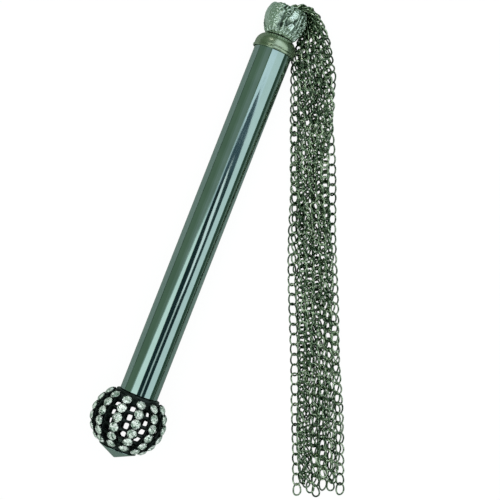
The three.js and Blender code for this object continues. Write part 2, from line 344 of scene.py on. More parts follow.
def gunmetal_cast():
    """Cast metal with painted shade and light by height: dark in its recesses and deep inside the
    cup, bright on its high places.
    """
    made = Nodes("gunmetal_cast", Metallic=1.0)
    relief_shade = made.attribute("relief_shade")
    mottled = made.combine(made.noise(420, 3), 0.25)
    colour = made.ramp(
        made.combine(relief_shade, mottled, "ADD"),
        (0.12, (0.03, 0.042, 0.034)),
        (0.45, (0.33, 0.41, 0.34)),
        (0.75, (0.72, 0.80, 0.69)),
        (1.0, (0.88, 0.97, 0.90)),
    )
    roughness = made.remap(relief_shade, 0.1, 0.9, 0.42, 0.22)
    dents = made.bump(made.noise(340, 2), 0.00035)
    grain = made.bump(made.noise(1400, 4, 0.6), 0.00003, 0.7, dents)
    return made.finish(colour, roughness, grain)


def gunmetal_satin():
    """The collar's spun metal: an even olive satin with faint turning marks."""
    made = Nodes("gunmetal_satin", Metallic=1.0)
    smears = made.noise(160, 4, 0.55)
    colour = made.ramp(smears, (0.3, (0.36, 0.42, 0.29)), (0.7, (0.54, 0.60, 0.46)))
    rings = made.noise(1, 3, 0.6, (40, 3800, 40))
    smeared = made.remap(smears, 0.35, 0.7, 0.24, 0.32)
    roughness = made.combine(smeared, made.remap(rings, 0.3, 0.7, 0.9, 1.1))
    return made.finish(colour, roughness, made.bump(rings, 0.000004))


def black_cast():
    """Blackened cast metal with a fine satin grain, worn a little brighter in places."""
    made = Nodes("black_cast", Metallic=0.75)
    worn = made.noise(500, 5, 0.6)
    colour = made.ramp(
        worn,
        (0.35, (0.010, 0.013, 0.013)),
        (0.62, (0.028, 0.036, 0.034)),
        (0.8, (0.10, 0.12, 0.11)),
    )
    roughness = made.remap(worn, 0.3, 0.7, 0.24, 0.42)
    return made.finish(colour, roughness, made.bump(made.noise(1800, 3), 0.00003, 0.8))


def fixing_steel():
    """Turned steel with faint tool rings along the handle."""
    made = Nodes("fixing_steel", Metallic=1.0)
    rings = made.noise(1, 2, 0.5, (60, 5200, 60))
    colour = made.ramp(made.noise(300, 4), (0.3, (0.40, 0.42, 0.41)), (0.7, (0.56, 0.58, 0.57)))
    return made.finish(colour, made.remap(rings, 0.3, 0.7, 0.2, 0.4), made.bump(rings, 0.00001))


def crystal():
    """Foil-backed cut crystal under a clear gloss: each facet's colour is a painted reflection,
    dark or bright, and its normal leans so that it mirrors another way.
    """
    made = Nodes("crystal", Metallic=0.25, Roughness=0.06, Coat_Weight=1.0, Coat_Roughness=0.01)
    colour = made.ramp(
        made.attribute("painted_facet_reflection"),
        (0.10, (0.10, 0.16, 0.12)),
        (0.28, (0.40, 0.50, 0.42)),
        (0.42, (0.88, 0.95, 0.86)),
        (0.8, (1.0, 1.0, 0.97)),
    )
    flat = made.node("NewGeometry").outputs["Normal"]
    leaning = made.vector("ADD", flat, made.attribute("facet_lean", "Vector"))
    return made.finish(colour, normal=made.vector("NORMALIZE", leaning))


def chain_metal():
    """Gunmetal plate on drawn wire: each link has its own tone, and a fine speckle from near black
    to near white is painted shade and glints.
    """
    made = Nodes("chain_metal", Metallic=1.0)
    links = made.remap(made.attribute("link_tone"), 0, 1, -0.09, 0.09)
    colour = made.ramp(
        made.combine(links, made.noise(750, 3, 0.6), "ADD"),
        (0.36, (0.04, 0.07, 0.04)),
        (0.47, (0.19, 0.26, 0.17)),
        (0.56, (0.50, 0.58, 0.40)),
        (0.66, (0.95, 0.98, 0.76)),
    )
    roughness = made.remap(made.noise(900, 3), 0.3, 0.7, 0.08, 0.22)
    return made.finish(colour, roughness, made.bump(made.noise(2500, 2), 0.00001, 0.8))


POLISH = gunmetal_polish()
CAST = gunmetal_cast()
SATIN = gunmetal_satin()
BLACK = black_cast()
STEEL = fixing_steel()
CRYSTAL = crystal()
CHAIN = chain_metal()

# ---- camera: straight above, turned so that the tassel runs down the picture; in mm ----
VIEW_ACROSS = -19.2  # the picture's middle, from the tassel's start
VIEW_ALONG = 116.9
VIEW_SIDE = 242.9  # the picture's side at the subject's height
CAMERA_HEIGHT = 615.0
SUBJECT_HEIGHT = 15.0


def add_camera():
    lens = bpy.data.cameras.new("camera")
    lens.sensor_width = 36
    lens.angle = 2 * atan(VIEW_SIDE / 2 / (CAMERA_HEIGHT - SUBJECT_HEIGHT))
    lens.clip_start = 0.01
    camera = add_object("camera", lens)
    turn = Matrix((ACROSS, -ALONG, UPWARD)).transposed().to_4x4()
    place = on_tassel(VIEW_ACROSS, VIEW_ALONG, CAMERA_HEIGHT)
    camera.matrix_world = Matrix.Translation(place) @ turn
    bpy.context.scene.camera = camera


add_camera()

# ---- chains, in mm from the tassel's start: columns across the run, layers from the table up ----
CHAIN_D = 2.0  # the CAD's strand
CHAIN_COLUMNS = 6
CHAIN_LAYERS = 3
MIDDLE_LAYER = (CHAIN_LAYERS - 1) / 2
FOLD_ACROSS = 11.85
FOLD_ALONG = 36.3
FOLD_HEIGHT = 4.05
COLUMN_PITCH = 3.3
LAYER_PITCH = 2.7
# Across, along, height, twist in degrees, pitch of the columns and of the layers. The open chains
# nest closer together in the crown's mouth and round its rim than the CAD's solid strands can.
BUNDLE = [
    (-0.6, 3.0, 10.7, 0, 0.8, 0.9),
    (1.3, 0.4, 10.8, 0, 1.3, 0.9),
    (2.9, -0.9, 10.9, 0, 1.7, 0.85),
    (4.8, -1.1, 10.8, 0, 1.9, 0.8),
    (6.6, -0.7, 10.6, 0, 1.9, 0.8),
    (8.4, -0.15, 10.3, 3, 1.9, 0.7),
    (9.9, 1.0, 10.1, 8, 1.9, 0.7),
    (10.7, 2.7, 10.0, 14, 1.95, 1.0),
    (11.4, 4.8, 9.8, 22, 2.1, 1.3),
    (11.6, 8.0, 9.6, 31, 2.45, 1.5),
    (11.5, 11.4, 9.3, 42, 2.85, 1.65),
    (11.1, 15.5, 8.9, 53, 3.2, 1.9),
    (10.9, 20.4, 8.1, 64, 3.3, 2.2),
    (11.1, 26.0, 6.6, 76, 3.3, 2.6),
    (FOLD_ACROSS, 32.2, FOLD_HEIGHT, 90, COLUMN_PITCH, LAYER_PITCH),
]
# below the fold: the middle across the run, and the pitch of the columns
SPREAD = [
    (FOLD_ACROSS, COLUMN_PITCH), (11.85, 3.8), (11.85, 3.92), (12.3, 4.0), (13.5, 4.2),
    (14.2, 4.4), (14.75, 4.1),
]
RUN_ENDS = (238.2, 234.5, 239, 235.6, 231.5, 238)  # of the columns, along the run
LAYER_SHORTER = (0, 6, 3)  # by layer, as in the tables below
LAYER_STAGGER = (-0.25, 0.25, -0.25)  # columns
LAYER_WIDTH = (1, 0.8, 0.78)
LAYER_SHIFT = (1.0, -0.6, -1.0)
LAYER_SWAY = (0.4, 1.3, 1.6)
LAYER_ROLL = (0.45, 1.25, 1.4)  # radians
LAYER_WANDER = (0.6, 1.6, 1.8)
STRAND_SWAY = 0.3
CURVE_STEPS = 12  # from one station to the next

LINK_PITCH = 4.96
LINK_HALF_LENGTH = 2.88
LINK_HALF_WIDTH = 1.86
LINK_WIRE = 0.42  # radius
LINK_SQUARENESS = 0.82
LINK_TWIST = radians(38)
LINK_STEPS = 20
WIRE_SIDES = 8
LINK_CLEARANCE = 0.03  # over the table
# How freely a link lies: least round the crown's rim, and fully from LOOSE_FULL along the run on.
LOOSE_LEAST = 0.15
LOOSE_START = 5.0
LOOSE_FULL = 45.0
ROLL_DRIFT = 1.7
ROLL_JITTER = 0.35
SLIDE_JITTER = 0.25
YAW_JITTER = 0.12


def from_middle(column, layer):
    return column - (CHAIN_COLUMNS - 1) / 2 + LAYER_STAGGER[layer]


def heading_at(station):
    """Direction of the bundle's middle at a station, as on a centripetal curve."""
    here = Vector(BUNDLE[station][:2])
    if station in (0, len(BUNDLE) - 1):
        other = Vector(BUNDLE[1 if station == 0 else station - 1][:2])
        return (other - here if station == 0 else here - other).normalized()
    before = Vector(BUNDLE[station - 1][:2])
    after = Vector(BUNDLE[station + 1][:2])
    first, second = sqrt((here - before).length), sqrt((after - here).length)
    slope = (here - before) / first - (after - before) / (first + second) + (after - here) / second
    return slope.normalized()


def bundle_place(station, column, layer):
    """Place of a chain at a station, and the direction that its flat side faces."""
    across, along, height, twist, column_pitch, layer_pitch = BUNDLE[station]
    heading = heading_at(station)
    outward = Vector((heading.y, -heading.x, 0))
    in_columns = from_middle(column, layer) * column_pitch
    in_layers = (MIDDLE_LAYER - layer) * layer_pitch
    turn = radians(twist)
    sideways = in_columns * sin(turn) + in_layers * cos(turn)
    upwards = in_columns * cos(turn) - in_layers * sin(turn)
    place = Vector((across, along, height + upwards)) + outward * sideways
    facing = Vector((0, 0, sin(turn))) - outward * cos(turn)
    return place, facing


def strand_route(column, layer):
    """The chain's (place, facing) pairs: over the rim, down to the fold and on to its end."""
    route = [bundle_place(station, column, layer) for station in range(len(BUNDLE))]
    height = FOLD_HEIGHT + (layer - MIDDLE_LAYER) * LAYER_PITCH
    start = FOLD_ALONG + abs(layer - MIDDLE_LAYER) * LAYER_PITCH + CHAIN_D / 2 + GAP
    end = RUN_ENDS[column] - LAYER_SHORTER[layer]
    for i, (centre, pitch) in enumerate(SPREAD):
        in_columns = from_middle(column, layer) * pitch
        across = centre + in_columns
        if i:
            # the sines' steps and phases only keep the strands from swaying together
            across = centre + LAYER_SHIFT[layer] + LAYER_WIDTH[layer] * in_columns
            across += LAYER_SWAY[layer] * sin(1.3 * i + 2.1 * layer + 0.4)
            across += STRAND_SWAY * sin(1.7 * column + 2.3 * layer + 1.9 * i)
        along = start + (end - start) * i / (len(SPREAD) - 1)
        route.append((Vector((across, along, height)), UPWARD))
    return route


def walk(curve, spacing, start=0.0):
    """(place, facing) pairs at an even spacing along the curve."""
    found, travelled, target = [], 0.0, start
    for (a, facing_a), (b, facing_b) in zip(curve, curve[1:]):
        length = (b - a).length
        while travelled + length >= target:
            t = (target - travelled) / length if length else 0
            found.append((a.lerp(b, t), facing_a.lerp(facing_b, t).normalized()))
            target += spacing
        travelled += length
    return found


def link_mesh():
    """Points and faces of a curb link, its length along x and its flat side facing z, in mm."""
    def squared(value):
        return copysign(abs(value) ** LINK_SQUARENESS, value)

    def middle(step):
        u = tau * step / LINK_STEPS
        x, y = squared(cos(u)), squared(sin(u))
        return Vector((LINK_HALF_LENGTH * x, LINK_HALF_WIDTH * y, 0))

    points = []
    for i in range(LINK_STEPS):
        here = middle(i)
        twist = Matrix.Rotation(LINK_TWIST * here.x / LINK_HALF_LENGTH, 3, "X")
        sideways = UPWARD.cross((middle(i + 1) - middle(i - 1)).normalized())
        for j in range(WIRE_SIDES):
            v = tau * j / WIRE_SIDES
            points.append(twist @ (here + (sideways * cos(v) + UPWARD * sin(v)) * LINK_WIRE))
    return points, wire_faces(LINK_STEPS, WIRE_SIDES)


LINK_POINTS, LINK_FACES = link_mesh()


def tassel_to_world(spot):
    return TASSEL + (ACROSS * spot.x + ALONG * spot.y + Vector((0, 0, spot.z))) * MM


def link_spots(i, a, b, facing, seed, layer):
    """Points of one link, the i-th from the mouth, that lies from a to b a little out of line."""
    ahead = (b - a).normalized()
    share = (a.y - LOOSE_START) / (LOOSE_FULL - LOOSE_START)
    loose = min(1.0, max(LOOSE_LEAST, share))
    wander = noise.noise(seed + Vector((0, 0, i * 0.21))) * ROLL_DRIFT
    wander += random.uniform(-ROLL_JITTER, ROLL_JITTER)
    facing = (facing - ahead * facing.dot(ahead)).normalized()
    facing = Matrix.Rotation(LAYER_ROLL[layer] * wander * loose, 3, ahead) @ facing
    sideways = facing.cross(ahead)
    drift = noise.noise(seed + Vector((5, 0, i * 0.17))) * LAYER_WANDER[layer] * loose
    centre = (a + b) / 2 + sideways * drift
    centre += ahead * random.uniform(-SLIDE_JITTER, SLIDE_JITTER)
    yaw = random.uniform(-YAW_JITTER, YAW_JITTER) * loose
    ahead, sideways = ahead + sideways * yaw, sideways - ahead * yaw
    spots = [centre + ahead * p.x + sideways * p.y + facing * p.z for p in LINK_POINTS]
    lift = Vector((0, 0, max(0.0, LINK_CLEARANCE - min(spot.z for spot in spots))))
    return [tassel_to_world(spot + lift) for spot in spots]


def run_length(path):
    return sum((b - a).length for a, b in zip(path, path[1:]))


def add_strand(name, column, layer):
    """One curb chain, link by link, from the mouth of the cup to its free end."""
    places, facings = zip(*strand_route(column, layer))
    places = catmull(places, CURVE_STEPS)
    curve = list(zip(places, catmull(facings, CURVE_STEPS)))
    # the last stop is kept just inside the curve's end
    stops = walk(curve, LINK_PITCH, run_length(places) % LINK_PITCH - 0.001)
    seed = Vector((column * 7.1, layer * 3.7, 0))
    points, faces, tones = [], [], []
    for i, ((a, facing), (b, _)) in enumerate(zip(stops, stops[1:])):
        faces += [[len(points) + corner for corner in face] for face in LINK_FACES]
        points += link_spots(i, a, b, facing, seed, layer)
        tones += [random.random()] * len(LINK_POINTS)
    strand = add_mesh(name, points, faces, CHAIN)
    add_values(strand, "link_tone", tones)
    tidy_mesh(strand, 0.0)
    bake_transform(strand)
    place(strand, None, "chain_metal", f"{name}_bend", f"{name}_fall")


def build_chains():
    """Every column has its layers of chains, but the first column lacks the top one."""
    spots = [(column, layer) for column in range(CHAIN_COLUMNS) for layer in range(CHAIN_LAYERS)]
    spots.remove((0, CHAIN_LAYERS - 1))
    for number, (column, layer) in enumerate(spots, 1):
        add_strand(f"chain_{number:02d}", column, layer)


build_chains()


# ---- handle tube and what is inside it ----
def build_tube():
    outline = sleeve(TUBE_R - TUBE_WALL, TUBE_R, TUBE_START, TUBE_END)
    tube = turned("tube", outline, POLISH, edge=0.25, segments=160)
    place(tube, "handle", "gunmetal_polish", "handle_tube")
    plug = TUBE_R - TUBE_WALL - GAP
    lower = sleeve(PLUG_BORE, plug, TUBE_START + GAP, LOWER_PLUG_END)
    upper = sleeve(BUSH_R + GAP, plug, UPPER_PLUG_START, TUBE_END - GAP)
    add_fixing("lower_plug", lower, "lower_end_plug", edge=0.4)
    add_fixing("upper_plug", upper, "upper_end_plug", edge=0.4)


build_tube()


# ---- pierced ball ----
WINDOW_ACROSS = 3.6
WINDOW_ALONG = 3.55
WINDOW_SQUARENESS = 5
RIB_HEIGHT = 0.45
RUNG_SHARE = 0.25  # of the ribs' height
CELL_SIDE = 6  # steps along a cell's side
# how far from the hole to the cell's edge, offset of the surface, how much of the rib it takes
CELL_OUTSIDE = [
    (0.0, -CAGE_WALL, 0.0), (0.0, -0.25, 0.0), (0.04, 0.0, 0.5), (0.10, 0.0, 1.0),
    (0.17, 0.0, 1.0), (0.24, 0.0, 0.15), (0.30, 0.0, 0.0), (1.0, 0.0, 0.0),
]
CELL_INSIDE = [(1.0, -CAGE_WALL, 0.0), (0.3, -CAGE_WALL, 0.0)]
NECK_LATITUDE = 50  # where the cage's outside ends, in degrees
NECK_INSIDE = 47
FOOT_LATITUDE = -50
FOOT_INSIDE = -49
NECK_BORE = 2.5
NECK_ROOF = NECK_S - CAGE_WALL
FOOT_ROOF = FOOT_S + CAGE_WALL
# sections of the two ends, from the outside to the bore and back inside
NECK = [
    (NECK_R + 0.15, NECK_S - 1.3), (NECK_R + 0.2, NECK_S - 0.9), (NECK_R + 0.1, NECK_S - 0.25),
    (NECK_R - 0.2, NECK_S), (NECK_R - 0.6, NECK_S), (NECK_BORE + 0.3, NECK_S),
    (NECK_BORE, NECK_S), (NECK_BORE, NECK_S - 0.2), (NECK_BORE, NECK_ROOF),
    (NECK_BORE + 0.2, NECK_ROOF), (NECK_R - CAGE_WALL, NECK_ROOF - 0.1),
]
FOOT = [
    (FOOT_R, FOOT_S + 1.2), (FOOT_R, FOOT_S + 0.3), (FOOT_R - 0.25, FOOT_S),
    (FOOT_R - 0.6, FOOT_S), (FOOT_BORE + 0.3, FOOT_S), (FOOT_BORE, FOOT_S),
    (FOOT_BORE, FOOT_S + 0.2), (FOOT_BORE, FOOT_ROOF), (FOOT_R - CAGE_WALL, FOOT_ROOF),
]


def on_ball(around, latitude, offset=0.0):
    """A point of the ball at an offset from the cage's outside, with angles in degrees."""
    low = radians(latitude)
    radius = (CAGE_R + offset) * cos(low)
    return on_handle(radius, radians(around), BALL_S + (CAGE_C + offset) * sin(low))


def square_loop(side):
    """Points of a unit square's edge, side steps to each edge, going round once."""
    steps = [2 * i / side - 1 for i in range(side)]
    return (
        [(t, -1) for t in steps]
        + [(1, t) for t in steps]
        + [(-t, 1) for t in steps]
        + [(-1, -t) for t in steps]
    )


def cage_cell(points, faces, around, latitude):
    """One window with the solid cage round it, out to the middle of the stone rows beside it."""
    half_along = degrees(WINDOW_ALONG / (CAGE_R + CAGE_C))
    half_across = degrees(WINDOW_ACROSS / 2 / (CAGE_R * cos(radians(latitude))))
    cell_across, cell_along = 180 / COLUMNS, STONE_STEP / 2
    edge = square_loop(CELL_SIDE)
    power = WINDOW_SQUARENESS
    loops = []
    for share, offset, rib in CELL_OUTSIDE + CELL_INSIDE:
        loops.append(list(range(len(points), len(points) + len(edge))))
        for x, y in edge:
            soft = (abs(x) ** power + abs(y) ** power) ** (1 / power)
            hole_x, hole_y = half_across * x / soft, half_along * y / soft
            beside = x * x * rib * RIB_HEIGHT * (1 if abs(x) >= abs(y) else RUNG_SHARE)
            points.append(
                on_ball(
                    around + hole_x + (x * cell_across - hole_x) * share,
                    latitude + hole_y + (y * cell_along - hole_y) * share,
                    offset + beside,
                )
            )
    # the cell's edge is open, since the next cell goes on there
    outside = len(CELL_OUTSIDE)
    stitch(faces, loops[:outside])
    stitch(faces, loops[outside:] + loops[:1])


def cage_band(points, faces, profile):
    """A plain ring of the cage from (radius, station) points, with the cells' spacing round it."""
    segments = COLUMNS * CELL_SIDE
    loops = []
    for radius, station in profile:
        loops.append(list(range(len(points), len(points) + segments)))
        for i in range(segments):
            points.append(on_handle(radius, tau * (i + CELL_SIDE / 2) / segments, station))
    stitch(faces, loops)


def meridian(offset, start, end, steps):
    """(radius, station) points of the cage's section between two latitudes in degrees."""
    found = []
    for i in range(steps + 1):
        low = radians(start + (end - start) * i / steps)
        radius, along = (CAGE_R + offset) * cos(low), (CAGE_C + offset) * sin(low)
        found.append((radius, BALL_S + along))
    return found


def build_cage():
    points, faces = [], []
    for column in range(COLUMNS):
        for row in range(STONES - 1):
            latitude = STONE_FIRST - STONE_STEP * (row + 0.5)
            cage_cell(points, faces, 360 / COLUMNS * column, latitude)
    last = STONE_FIRST - STONE_STEP * (STONES - 1)
    cage_band(points, faces, [
        *meridian(0, STONE_FIRST, NECK_LATITUDE, 4), *NECK,
        *meridian(-CAGE_WALL, NECK_INSIDE, STONE_FIRST, 2),
    ])
    cage_band(points, faces, [
        *meridian(0, last, FOOT_LATITUDE, 2), *FOOT, *meridian(-CAGE_WALL, FOOT_INSIDE, last, 2),
    ])
    cage = tidy_mesh(add_mesh("cage", points, faces, BLACK), 0.02)
    fine = cage.modifiers.new("fine", "SUBSURF")
    fine.levels = fine.render_levels = 1
    place(cage, "handle", "black_cast", "ball_cage")


build_cage()


# ---- stones in their cups; a stone's radii are shares of its own, the rest is in mm ----
INNER_R = 0.3
TABLE_R = 0.56
MIDDLE_R = 0.80
GIRDLE_FOOT_R = 0.97
CROWN = 0.95
MIDDLE_DROP = 0.38
GIRDLE = 0.35
STONE_SINK = 0.03
STONE_TIP = 0.05  # radians out of level
LEAN = 0.5  # of a facet's reflection
FACET_GROUPS = 11  # groups of painted reflection tints in a stone
FACETS_TOGETHER = 6  # facets that share a painted reflection tint
CUP_OUT = 2.56
CUP_WALL = 0.28
CUP_SIDES = 32
PRONGS = 4
PRONG_SHARPNESS = 6
PRONG_REACH = 0.22
PRONG_RISE = 0.2


def stone_seat(around, latitude):
    """Centre on the cage and a stone's three directions: outward, sideways and along the row."""
    low = radians(latitude)
    turn = radians(around)
    ring = UP * cos(turn) + SIDE * sin(turn)
    outward = (ring * (cos(low) / CAGE_R) + AXIS * (sin(low) / CAGE_C)).normalized()
    sideways = SIDE * cos(turn) - UP * sin(turn)
    return on_ball(around, latitude), outward, sideways, outward.cross(sideways)


def stone_facets():
    """Points and faces of a brilliant: table in two rings, stars, kites and the girdle's pairs."""
    spots = [(0, 0, STONE_TOP)]

    def ring(share, height, count, shift):
        for i in range(count):
            turn = tau * (i + shift) / count
            radius = share * STONE_R
            spots.append((radius * cos(turn), radius * sin(turn), height))
        return len(spots) - count

    girdle = STONE_TOP - CROWN
    inner = ring(INNER_R, STONE_TOP, 8, 0.5)
    table = ring(TABLE_R, STONE_TOP, 8, 0)
    middle = ring(MIDDLE_R, STONE_TOP - MIDDLE_DROP, 8, 0.5)
    edge = ring(1.0, girdle, 16, 0)
    foot = ring(GIRDLE_FOOT_R, girdle - GIRDLE, 16, 0)
    faces = []
    for i in range(8):
        j = (i + 1) % 8
        before = (i + 7) % 8
        faces.append((0, inner + before, inner + i))
        faces.append((inner + before, table + i, inner + i))
        faces.append((inner + i, table + i, table + j))
        faces.append((table + i, middle + i, table + j))
        faces.append((table + i, middle + before, edge + 2 * i))
        faces.append((table + i, edge + 2 * i, middle + i))
        faces.append((middle + i, edge + 2 * i, edge + 2 * i + 1))
        faces.append((middle + i, edge + 2 * i + 1, edge + (2 * i + 2) % 16))
    for i in range(16):
        j = (i + 1) % 16
        faces.append((edge + i, foot + i, foot + j, edge + j))
    faces.append(tuple(foot + i for i in range(16)))
    return spots, faces


STONE_SPOTS, STONE_FACES = stone_facets()
CUP_LIP = STONE_TOP - CROWN + 0.12
# (radius, height) of a stone's cup, from the inside floor over the lip and down
CUP_SECTION = (
    (0.0, 0.35), (CUP_OUT - CUP_WALL, 0.4), (CUP_OUT - CUP_WALL, CUP_LIP - 0.05),
    (CUP_OUT - 0.18, CUP_LIP + 0.03), (CUP_OUT - 0.06, CUP_LIP), (CUP_OUT, CUP_LIP - 0.12),
    (CUP_OUT, -0.5), (0.0, -0.5),
)


def add_cup(points, faces, seat):
    """One setting cup: a turned shell with four prongs folded over the stone's edge."""
    centre, outward, sideways, along = seat
    loops = []
    for radius, height in CUP_SECTION:
        loops.append(list(range(len(points), len(points) + CUP_SIDES)))
        at_lip = height > 0 and radius > CUP_OUT - 0.2
        for i in range(CUP_SIDES):
            turn = tau * i / CUP_SIDES
            prong = max(0.0, cos(PRONGS * turn + pi)) ** PRONG_SHARPNESS if at_lip else 0
            flat = sideways * cos(turn) + along * sin(turn)
            reach, rise = radius - PRONG_REACH * prong, height + PRONG_RISE * prong
            points.append(centre + (flat * reach + outward * rise) * MM)
    stitch(faces, loops)


def build_stone_row(column):
    around = 360 / COLUMNS * (column + 0.5)
    points, faces, painted_reflections, leans = [], [], [], []
    cup_points, cup_faces = [], []
    for i in range(STONES):
        seat = stone_seat(around, STONE_FIRST - STONE_STEP * i)
        centre, outward, sideways, along = seat
        spin = random.uniform(0, tau)
        tip = Matrix.Rotation(random.uniform(-STONE_TIP, STONE_TIP), 3, sideways)
        start = len(points)
        for x, y, z in STONE_SPOTS:
            flat = sideways * (x * cos(spin) - y * sin(spin))
            flat += along * (x * sin(spin) + y * cos(spin))
            points.append(centre + (tip @ (flat + outward * (z - STONE_SINK))) * MM)
        # each facet's colour is a painted reflection, shared in blotches of facets, with a share of
        # its own at random
        reflection_blotches = [random.random() for _ in range(FACET_GROUPS)]
        for n, face in enumerate(STONE_FACES):
            faces.append([start + corner for corner in face])
            reflection_blotch = reflection_blotches[n // FACETS_TOGETHER % FACET_GROUPS]
            painted_reflections.append(0.65 * reflection_blotch + 0.35 * random.random())
            leans += [random.gauss(0, 1) * LEAN for _ in range(3)]
        add_cup(cup_points, cup_faces, seat)
    number = f"{column + 1:02d}"
    row = add_mesh(f"stones_{number}", points, faces, CRYSTAL, smooth=False)
    add_values(row, "painted_facet_reflection", painted_reflections, "FACE")
    lean = row.data.attributes.new("facet_lean", "FLOAT_VECTOR", "FACE")
    lean.data.foreach_set("vector", leans)
    place(row, "handle", "crystal", f"stone_row_{number}")
    cups = tidy_mesh(add_mesh(f"stone_cups_{number}", cup_points, cup_faces, BLACK), 0.001)
    place(cups, "handle", "black_cast")


for column in range(COLUMNS):
    build_stone_row(column)


# ---- cone and the ball's fixings ----
def build_ball_fixings():
    stem, rim = FOOT_BORE - 0.4, FOOT_S - GAP
    cone = [(0, 0), (0.5, 0.16), (FOOT_R - 0.3, FOOT_S - 0.62), (FOOT_R, FOOT_S - 0.45)]
    cone += [(FOOT_R, rim), (stem, rim), (stem, STEM_TOP), (0, STEM_TOP)]
    cap = turned("cone", cone, POLISH, edge=0.12, segments=128)
    place(cap, "handle", "gunmetal_polish", "cone_cap")
    nut = FOOT_S + CAGE_WALL + GAP
    ring_nut = sleeve(stem + GAP, RING_NUT_R, nut, nut + RING_NUT_THICK)
    add_fixing("ring_nut", ring_nut, "cone_ring_nut")
    head = NECK_S - CAGE_WALL - 2 * GAP
    under = head - SCREW_HEAD
    screw = [(0, under), (SCREW_HEAD_R - 0.8, under), (SCREW_HEAD_R, under + 1)]
    screw += [(SCREW_HEAD_R, head), (SCREW_R, head), (SCREW_R, SCREW_END), (0, SCREW_END)]
    add_fixing("screw", screw, "ball_screw", edge=0.15)


build_ball_fixings()


# ---- collar, cup and swivel ----
COLLAR_START = 211.0
COLLAR_PROFILE = [
    (10.15, COLLAR_START), (10.5, 211.2), (COLLAR_R, 211.75), (10.5, 212.3), (10.2, 212.65),
    (10.3, 213.3), (10.15, 214.8), (9.5, 216.5), (8.2, 218.0), (6.6, COLLAR_TOP),
]


def build_collar():
    roof, skirt, bore = TUBE_END + GAP, TUBE_R + GAP, BUSH_R + GAP
    outline = [(skirt, COLLAR_START + 0.2), (skirt + 0.15, COLLAR_START)]
    outline += catmull(COLLAR_PROFILE, 6)
    outline += [(6.2, COLLAR_TOP), (bore, COLLAR_TOP)]
    outline += [(bore, roof), (skirt - 0.3, roof), (skirt, roof)]
    points, faces = spun(outline, 160)
    collar = tidy_mesh(add_mesh("collar", points, faces, SATIN))
    place(collar, "handle", "gunmetal_cast", "dome_collar")


CUP_TURNS = 2  # times that the leaves go round the cup
RELIEF_DEPTH = 0.95
CUP_SEGMENTS = 320
CUP_LEVELS = 84
CUP_FOOT_R = 6.6
LIP_WALL = 1.05
LIP_ROUND = 0.3
LIP_STEPS = 7
# outside of the cup before its leaves are cut: radius and station
CUP_PROFILE = [
    (7.3, CUP_START), (8.6, 220.8), (10.0, 223.4), (10.6, 226.2), (10.7, 228.6),
    (10.3, 231.5), (9.1, LIP_S),
]
CUP_OUTSIDE = catmull(CUP_PROFILE, 8)
# inside of the cup: radius and share of the way from the lip to the floor
CUP_INSIDE = catmull(
    [(7.8, 0.0), (8.9, 0.2), (9.4, 0.42), (9.2, 0.6), (8.4, 0.8), (6.6, 0.97), (5.4, 1.0)], 6
)


def cup_base(station):
    """Outside radius of the cup before its leaves are cut."""
    for (r0, s0), (r1, s1) in zip(CUP_OUTSIDE, CUP_OUTSIDE[1:]):
        if station <= s1:
            return r0 + (r1 - r0) * (station - s0) / (s1 - s0)
    return CUP_OUTSIDE[-1][0]


def bell(distance, width):
    return exp(-((distance / width) ** 2))


def eased(value, low, high):
    """0 up to low, 1 from high, and a smooth step between them."""
    t = min(1.0, max(0.0, (value - low) / (high - low)))
    return t * t * (3 - 2 * t)


# Forms on each half of the cup: middle (radians round the cup, share of its height), half sizes
# (the same way) and lean.
BROAD_LEAF = (-0.84, 0.60, 0.66, 0.50, -0.06)
SLIM_LEAF = (0.42, 0.76, 0.22, 0.34, 0.12)
TEARDROP = (0.45, 0.31, 0.17, 0.11, 0.0)
PIERCING = (-0.06, 0.32, 0.10, 0.07, 0.0)
CURL = (-0.30, 0.74, 0.15, 0.09, 0.0)


def within(turn, up, form):
    """0 in a form's middle and 1 at its edge."""
    middle, height, half_turn, half_height, lean = form
    off = turn - middle - lean * (up - height) / half_height
    return hypot(off / half_turn, (up - height) / half_height)


def raised(height, where, level, swell):
    """The height with a smooth form laid on it, which is cut round by a groove."""
    groove = bell(where - 1.12, 0.13)
    inside = 1 - eased(where, 0.86, 1.06)
    height = height * (1 - 0.8 * groove)
    return height + (level + swell * (1 - where * where) - height) * inside


